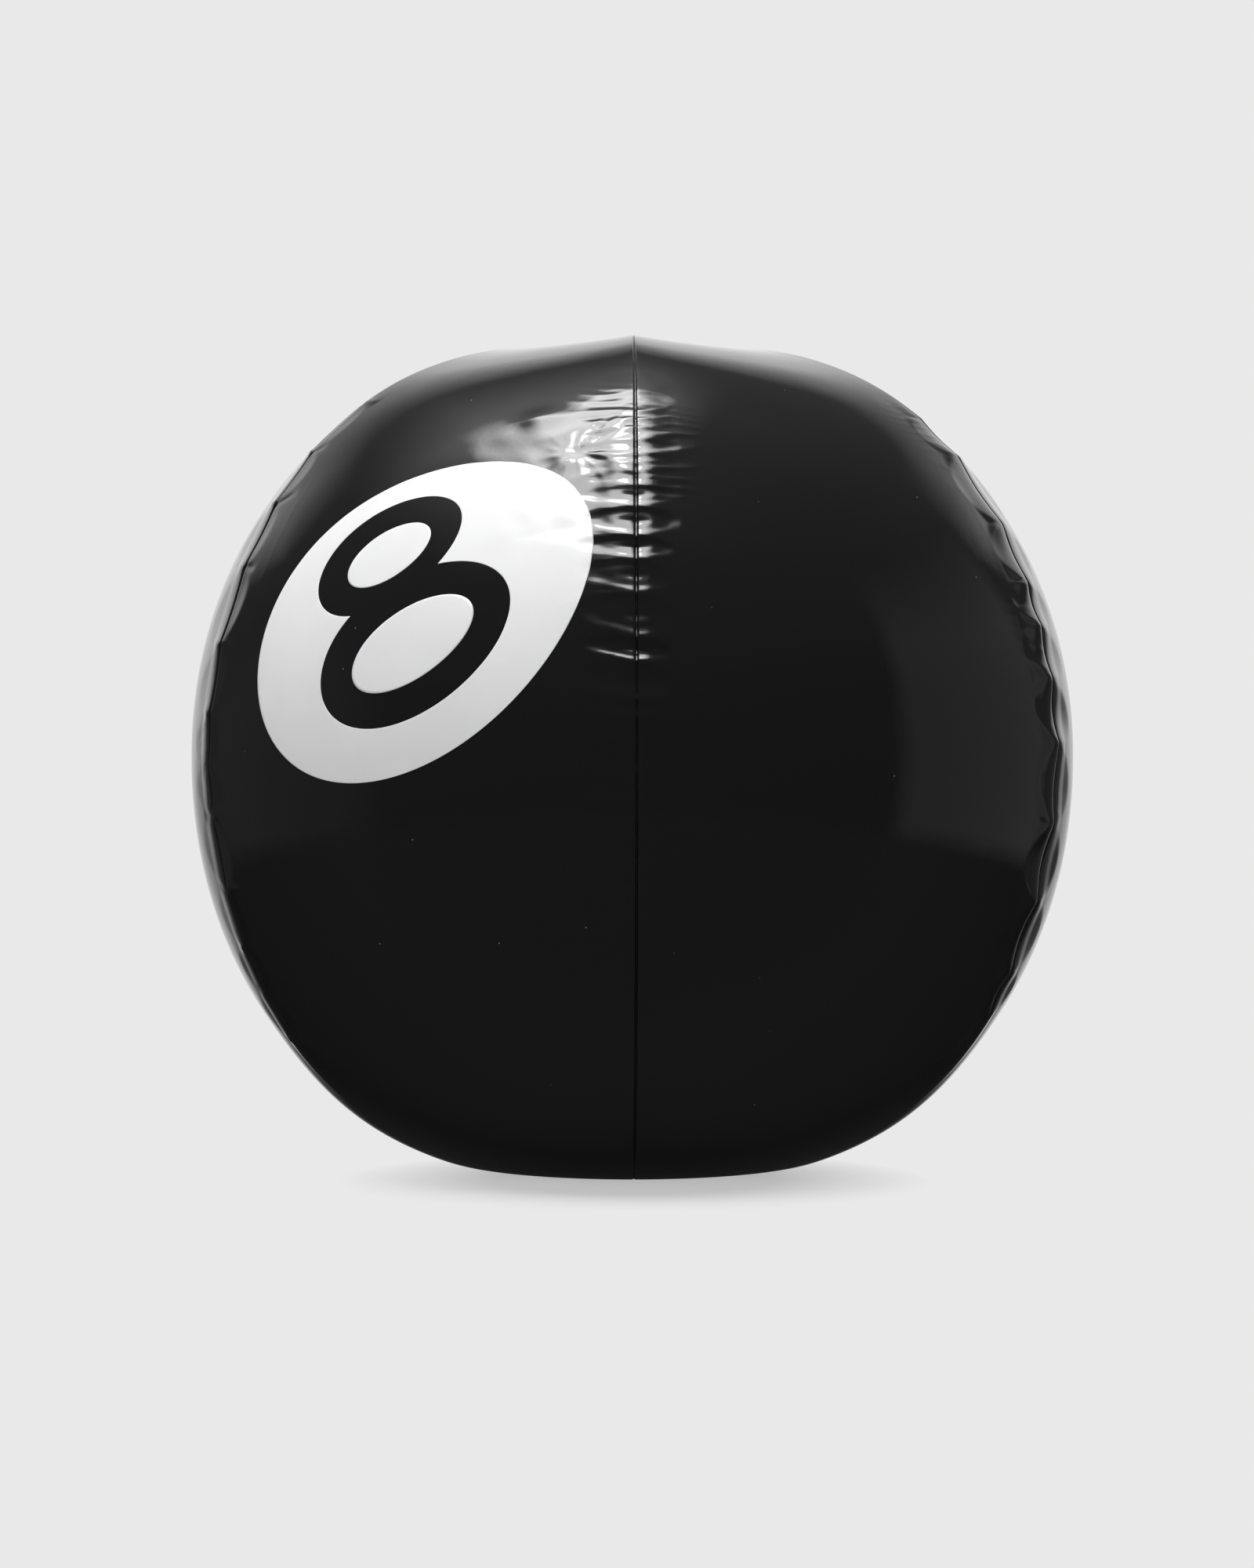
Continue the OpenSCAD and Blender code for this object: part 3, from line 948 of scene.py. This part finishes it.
def loopReach(loop, turn):
    # distance from the waist to a loop's outline in each direction, from the quadratic of an ellipse
    cx, cy, a, b, tilt = loop
    px, py = spun(spot["waist"][0] - cx, spot["waist"][1] - cy, -tilt)
    dx, dy = spun(np.cos(turn), np.sin(turn), -tilt)
    px, py, dx, dy = px / a, py / b, dx / a, dy / b
    along = px * dx + py * dy
    size = dx ** 2 + dy ** 2
    return (-along + np.sqrt(along ** 2 - size * (px ** 2 + py ** 2 - 1))) / size


def inkPlate(name, node, x, y, closedMiddle):
    # rows of closed outlines, innermost first; the upper and lower sheets meet at the rims
    rows, columns = x.shape
    lift = np.full(x.shape, spot["gap"])
    upper = printPoint(x, y, lift + spot["ink"])
    lower = printPoint(x, y, lift)
    points = np.concatenate([upper, lower[::-1]]).reshape(-1, 3)
    if closedMiddle:
        middle = (x[:1].mean(1), y[:1].mean(1))
        tips = [printPoint(*middle, lift[0, :1] + ink)[0] for ink in (spot["ink"], 0)]
        points = np.vstack([points, tips])
        faces = cappedFaces(2 * rows, columns)
    else:
        faces = gridFaces(2 * rows, columns, wrapRows=True, wrapColumns=True)
    makePiece(name, points, faces, "ball", "white_ink", whiteInk, [node])


def makeField():
    # from the figure's outline, the further of its two loops in each direction, straight out to the rim
    around, rows = spot["fieldGrid"]
    turn = np.linspace(0, 2 * math.pi, around, endpoint=False)[None, :]
    figure = np.maximum(loopReach(spot["upperLoop"], turn), loopReach(spot["lowerLoop"], turn))
    rim = loopReach(spot["outer"], turn)
    span = figure + (rim - figure) * np.linspace(0, 1, rows)[:, None]
    inkPlate("print_white_field", "print_field", spot["waist"][0] + span * np.cos(turn),
             spot["waist"][1] + span * np.sin(turn), False)


def makeCounter(name, node, loop):
    around, rows = spot["counterGrid"]
    share = np.linspace(0, 1, rows)[1:, None]
    turn = np.linspace(0, 2 * math.pi, around, endpoint=False)[None, :]
    x, y = spun(loop[2] * np.cos(turn) * share, loop[3] * np.sin(turn) * share, loop[4])
    inkPlate(name, node, x + loop[0], y + loop[1], True)


makeField()
makeCounter("print_upper_island", "print_upper_counter", spot["upperCounter"])
makeCounter("print_lower_island", "print_lower_counter", spot["lowerCounter"])
print("print made")


def valveFrame():
    z = np.array(valve["up"])
    point = np.array([panelDepth(np.array(0.0), z), 0, z + ball["widestZ"]])
    slope = slopeOf(panelRadius, z)
    normal = np.array([1, 0, -slope]) / math.sqrt(1 + slope ** 2)
    down = np.array([normal[2], 0, -normal[0]])
    a = goreTurn(valve["panel"])
    turn = np.array([[math.cos(a), -math.sin(a), 0], [math.sin(a), math.cos(a), 0], [0, 0, 1]])
    return turn @ point, turn @ down, turn @ np.array([0, 1.0, 0]), turn @ normal


valveAt, valveDown, valveAcross, valveOut = valveFrame()


def toBall(local):
    # local valve points (x, y, z) to ball points
    return (valveAt + local[..., :1] * valveDown + local[..., 1:2] * valveAcross
            + local[..., 2:3] * valveOut)


def rounded(corners, radius, steps=4):
    # closed profile with each corner replaced by a parabola; a corner is (r, z) or (r, z, radius)
    out = []
    count = len(corners)
    for i, corner in enumerate(corners):
        here = np.array(corner[:2], float)
        before = np.array(corners[i - 1][:2], float) - here
        after = np.array(corners[(i + 1) % count][:2], float) - here
        size = corner[2] if len(corner) > 2 else radius
        a, b = np.linalg.norm(before), np.linalg.norm(after)
        size = min(size, 0.45 * a, 0.45 * b)
        if size < 1e-6:
            out.append(here[None])
            continue
        t = np.linspace(0, 1, steps + 1)[:, None]
        p, q = here + before / a * size, here + after / b * size
        out.append(p * (1 - t) ** 2 + here * 2 * t * (1 - t) + q * t ** 2)
    return np.vstack(out)


def latheRing(profile, segments):
    # a closed profile carried round the valve's axis
    turn = np.linspace(0, 2 * math.pi, segments, endpoint=False)
    r = profile[None, :, 0] * np.ones((segments, 1))
    z = profile[None, :, 1] * np.ones((segments, 1))
    local = np.stack([r * np.cos(turn)[:, None], r * np.sin(turn)[:, None], z], -1)
    return toBall(local), gridFaces(segments, len(profile), wrapRows=True, wrapColumns=True)


def outward(piece):
    # turn the faces outwards once the piece is whole
    mesh = bmesh.new()
    mesh.from_mesh(piece.data)
    bmesh.ops.recalc_face_normals(mesh, faces=mesh.faces)
    mesh.to_mesh(piece.data)
    mesh.free()


opening, collar, tube = valve["opening"], valve["collar"], valve["tube"]
collarFoot = 1 - valve["depth"]
collarTop = 2 - valve["depth"]

flange = rounded([(opening, -0.85), (valve["flange"], -1.9), (valve["flange"], -2.4), (opening, -1.4)], 0.2)
flangePiece = makePiece("flange_ring", *latheRing(flange, 160), "ball", "valve_film", valveFilm,
                        ["valve_flange"])

boot = rounded([(opening - 0.55, -1), (opening - 0.1, -1), (7.6, -5.2, 1.5), (7.0, -9.0, 1.5),
                (collar + 0.75, collarFoot), (collar + 0.05, collarFoot),
                (collar + 0.05, collarFoot + 0.7), (collar + 0.25, collarFoot + 0.7),
                (6.5, -9.0, 1.5), (7.1, -5.2, 1.5)], 0.15)
bootPiece = makePiece("boot_cone", *latheRing(boot, 128), None, "valve_film", valveFilm, ["valve_boot"])

stem = rounded([(valve["bore"], -valve["depth"]), (tube, -valve["depth"]), (tube, collarFoot),
                (collar, collarFoot), (collar, collarTop), (tube, collarTop), (tube, -0.9, 0.4),
                (valve["lip"], -0.2, 0.3), (valve["lip"], valve["lipTop"], 0.3),
                (valve["bore"], valve["lipTop"], 0.3)], 0.15)
stemPiece = makePiece("stem_tube", *latheRing(stem, 128), "valve", "valve_moulding", valveMoulding,
                      ["valve_stem"])
print("valve made")

for piece in (flangePiece, bootPiece, stemPiece):
    outward(piece)
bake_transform(bootPiece)

for node, finish in (("valve_plug", plugMoulding), ("plug_tether", plugMoulding), ("valve_flap", flapFilm)):
    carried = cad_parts[node]
    carried.data.materials.clear()
    carried.data.materials.append(finish)


stage = {
    "pale": 0.8148,
    "radius": 5.0,
    "shadowShare": 0.45,
    "shadowAt": (0.0, -0.07),
    "shadowStretch": 1.25,      # the shaded patch is wider than it is deep
    "shadowRadius": (0.06, 0.125),
    "floorAlbedo": 0.7,
    "floorMiddle": 0.6,
    "sides": 96,
    "domeRings": 24,
    "domeFoot": 0.02,           # radians under the floor
}


def glowing(name, grey):
    material = bpy.data.materials.new(name)
    material.use_nodes = True
    tree = material.node_tree
    tree.nodes.clear()
    root = Wire(tree)
    glow = root.add("ShaderNodeEmission", None, {"Color": (grey, grey, grey, 1), "Strength": 1.0})
    return material, tree, root, glow


def stageMesh(name, points, faces, material):
    mesh = bpy.data.meshes.new(name)
    mesh.from_pydata(points.tolist(), [], faces)
    mesh.materials.append(material)
    made = bpy.data.objects.new(name, mesh)
    bpy.context.scene.collection.objects.link(made)
    return made


def makeFloor():
    material, tree, root, glow = glowing("paleFloor", stage["pale"])
    matt = root.add("ShaderNodeBsdfDiffuse", None,
                    {"Color": (stage["floorAlbedo"],) * 3 + (1,), "Roughness": 1.0})
    at = place(tree)
    x, y = stage["shadowAt"]
    moved = at.add("ShaderNodeVectorMath", {"operation": "SUBTRACT"}, {0: at, 1: (x, y, 0)})
    wide = at.add("ShaderNodeVectorMath", {"operation": "MULTIPLY"},
                  {0: moved, 1: (1, stage["shadowStretch"], 1)})
    away = at.add("ShaderNodeVectorMath", {"operation": "LENGTH"}, {0: wide}, "Value")
    share = ranged(away, *stage["shadowRadius"], stage["shadowShare"], 0.0)
    both = root.add("ShaderNodeMixShader", None, {0: share, 1: glow, 2: matt})
    out = tree.nodes.new("ShaderNodeOutputMaterial")
    tree.links.new(both.socket, out.inputs["Surface"])
    sides = stage["sides"]
    turn = np.linspace(0, 2 * math.pi, sides, endpoint=False)
    rings = [np.stack([r * np.cos(turn), r * np.sin(turn), 0 * turn], -1)
             for r in (stage["floorMiddle"], stage["radius"])]
    points = np.vstack([*rings, [[0, 0, 0]]])
    faces = gridFaces(2, sides, wrapColumns=True).tolist()
    around = np.arange(sides)
    faces += np.stack([np.full(sides, 2 * sides), around, (around + 1) % sides], -1).tolist()
    floor = stageMesh("floor", points, faces, material)
    floor.visible_glossy = False


def makeDome():
    # half sphere that only the camera sees
    material, tree, root, glow = glowing("paleDome", stage["pale"])
    out = tree.nodes.new("ShaderNodeOutputMaterial")
    tree.links.new(glow.socket, out.inputs["Surface"])
    rings, sides, foot = stage["domeRings"], stage["sides"], stage["domeFoot"]
    up = np.linspace(-foot, math.pi / 2 - foot, rings)[:, None]
    turn = np.linspace(0, 2 * math.pi, sides, endpoint=False)[None, :]
    r = stage["radius"]
    points = np.stack([r * np.cos(up) * np.cos(turn), r * np.cos(up) * np.sin(turn),
                       r * np.sin(up) + 0 * turn], -1).reshape(-1, 3)
    faces = gridFaces(rings, sides, wrapColumns=True).tolist()
    faces.append(list(range((rings - 1) * sides, rings * sides)))
    dome = stageMesh("dome", points, faces, material)
    for ray in ("visible_diffuse", "visible_glossy", "visible_transmission", "visible_shadow",
                "visible_volume_scatter"):
        setattr(dome, ray, False)


makeFloor()
makeDome()

fill = {
    "at": (-0.9, -2.2, 1.0),
    "towards": (0, 0, 0.15),
    "size": (1.6, 1.6),
    "power": 12,
}


def makeFill():
    # lights the print and the base, and isn't mirrored in the film
    data = bpy.data.lights.new("fill", "AREA")
    data.shape = "RECTANGLE"
    data.size, data.size_y = fill["size"]
    data.energy = fill["power"]
    lamp = bpy.data.objects.new("fill", data)
    bpy.context.scene.collection.objects.link(lamp)
    lamp.location = fill["at"]
    way = Vector(fill["towards"]) - Vector(fill["at"])
    lamp.rotation_euler = way.to_track_quat("-Z", "Y").to_euler()
    lamp.visible_glossy = False


makeFill()

softBox = {
    "height": 1.6,           # above the middle of the ball
    "x": (-0.44, 0.16),      # edges, as shares of the height
    "y": (-0.78, 0.17),
    "softness": 0.09,
    "glow": 9.5,
    "core": 22.0,            # hot middle
    "coreAt": (-0.14, -0.24),
    "coreRadius": 0.17,
    "haloReach": 0.42,
    "halo": 1.3,
    "haloRight": (0.2, 0.32, 0.12),
    "size": 2.4,             # half the sheet it is drawn on
}


def makeSoftBox():
    # a sheet of light overhead: bright between its soft edges, with a hot middle and a faint halo
    material = bpy.data.materials.new("softBox")
    material.use_nodes = True
    tree = material.node_tree
    tree.nodes.clear()
    at = place(tree)
    parts = at.add("ShaderNodeSeparateXYZ", None, {0: at}).socket.node
    x, y = (Wire(tree, parts.outputs[axis]) for axis in "XY")
    h = softBox["height"]
    soft = softBox["softness"] * h

    def between(value, edges):
        low, high = edges[0] * h, edges[1] * h
        return ranged(value, low - soft, low + soft, 0, 1) * ranged(value, high - soft, high + soft, 1, 0)

    core = between(x, softBox["x"]) * between(y, softBox["y"])
    middle = [sum(softBox[axis]) / 2 * h for axis in "xy"]
    half = [(softBox[axis][1] - softBox[axis][0]) / 2 * h for axis in "xy"]
    outX = (x - middle[0]).maths("ABSOLUTE", x - middle[0]) - half[0]
    outY = (y - middle[1]).maths("ABSOLUTE", y - middle[1]) - half[1]
    away = outX.maths("MAXIMUM", outX, 0.0) + outY.maths("MAXIMUM", outY, 0.0)
    halo = ranged(away, 0.0, softBox["haloReach"] * h * 2, 1.0, 0.0)
    near, far, least = softBox["haloRight"]
    halo = halo * halo * halo * ranged(x, near * h, far * h, 1.0, least)
    cx, cy = softBox["coreAt"]
    away = (x - cx * h) * (x - cx * h) + (y - cy * h) * (y - cy * h)
    hot = ranged(away, 0.0, (softBox["coreRadius"] * h) ** 2, 1.0, 0.0)
    strength = core * softBox["glow"] + halo * softBox["halo"] + hot * hot * softBox["core"]
    glow = at.add("ShaderNodeEmission", None, {"Color": (1, 1, 1, 1), "Strength": strength})
    clear = at.add("ShaderNodeBsdfTransparent")
    both = at.add("ShaderNodeAddShader", None, {0: glow, 1: clear})
    out = tree.nodes.new("ShaderNodeOutputMaterial")
    tree.links.new(both.socket, out.inputs["Surface"])
    z = h + ball["widestZ"] * mm
    r = softBox["size"]
    points = np.array([(-r, -r, z), (-r, r, z), (r, r, z), (r, -r, z)])
    sheet = stageMesh("softBox", points, [[0, 1, 2, 3]], material)
    sheet.visible_camera = False


makeSoftBox()

studio = {
    "front": 0.09,
    "above": 0.05,
    "wall": 0.72,
    "wallTop": 0.36,
    "rightCard": 0.18,
    "leftCard": 0.06,
    "below": (0.11, 0.02),      # in front and behind the ball
    # directions as parts of a unit vector: where each area starts and is full
    "wallLean": 0.95,
    "wallEdge": (0.79, 0.97),
    "wallFoot": (-0.20, -0.12),
    "wallCrown": (0.54, 0.71),
    "wallTopFrom": (0.05, 0.3),
    "rightEdge": (0.855, 0.91),
    "rightFoot": (-0.26, -0.245),
    "rightCrown": (0.36, 0.6),
    "leftEdge": (-0.9, -0.96),
    "leftFoot": (-0.3, -0.2),
    "aboveFrom": (0.2, 0.9),
    "horizon": (-0.2, -0.26),
    "belowDepth": (-0.2, 0.6),
}


def makeStudio():
    # dim room in front, pale wall behind that ends high up, dim cards on both sides, dark below
    world = bpy.data.worlds.new("studio")
    bpy.context.scene.world = world
    world.use_nodes = True
    tree = world.node_tree
    tree.nodes.clear()
    root = Wire(tree)
    way = root.add("ShaderNodeTexCoord", output="Generated")
    parts = root.add("ShaderNodeSeparateXYZ", None, {0: way}).socket.node
    x, y, z = (Wire(tree, parts.outputs[axis]) for axis in "XYZ")

    def rising(value, area):
        return ranged(value, *studio[area], 0.0, 1.0)

    def falling(value, area):
        return ranged(value, *studio[area], 1.0, 0.0)

    raised = ranged(z, 0.0, 0.5, 0.0, 0.5)
    wall = rising(y + raised * studio["wallLean"], "wallEdge") * rising(z, "wallFoot")
    wall = wall * falling(z, "wallCrown")
    wallGrey = studio["wall"] + studio["wallTop"] * rising(z, "wallTopFrom")
    rightCard = rising(x * x / (1 - z * z), "rightEdge") * (x > 0)
    rightCard = rightCard * rising(z, "rightFoot") * falling(z, "rightCrown")
    leftCard = rising(x, "leftEdge") * rising(z, "leftFoot")
    room = studio["front"] + studio["rightCard"] * rightCard + studio["leftCard"] * leftCard
    room = room + studio["above"] * rising(z, "aboveFrom")
    down = rising(z, "horizon")
    ground = ranged(y, *studio["belowDepth"], *studio["below"])
    grey = (room * (1 - wall) + wallGrey * wall) * (1 - down) + ground * down
    glow = root.add("ShaderNodeBackground", None, {"Color": grey, "Strength": 1.0})
    out = tree.nodes.new("ShaderNodeOutputWorld")
    tree.links.new(glow.socket, out.inputs["Surface"])


makeStudio()

view = {
    "distance": 1.17,
    "centre": (0, 0, 0.18),
    "below": 1.97,          # degrees
    "left": 0.5,
    "lens": 59.6,
    "shift": (-0.00325, -0.0166),
}


def makeCamera():
    data = bpy.data.cameras.new("camera")
    camera = bpy.data.objects.new("camera", data)
    bpy.context.scene.collection.objects.link(camera)
    up, side = math.radians(-view["below"]), math.radians(view["left"])
    back = Vector((-math.sin(side) * math.cos(up), -math.cos(side) * math.cos(up), math.sin(up)))
    camera.location = Vector(view["centre"]) + back * view["distance"]
    camera.rotation_mode = "QUATERNION"
    camera.rotation_quaternion = (-back).to_track_quat("-Z", "Y")
    data.lens = view["lens"]
    data.sensor_width = 36
    data.shift_x, data.shift_y = view["shift"]
    data.clip_start, data.clip_end = 0.05, 50
    bpy.context.scene.camera = camera


makeCamera()
bpy.context.scene.view_settings.view_transform = "Standard"
bpy.context.scene.view_settings.look = "None"
print("stage made")
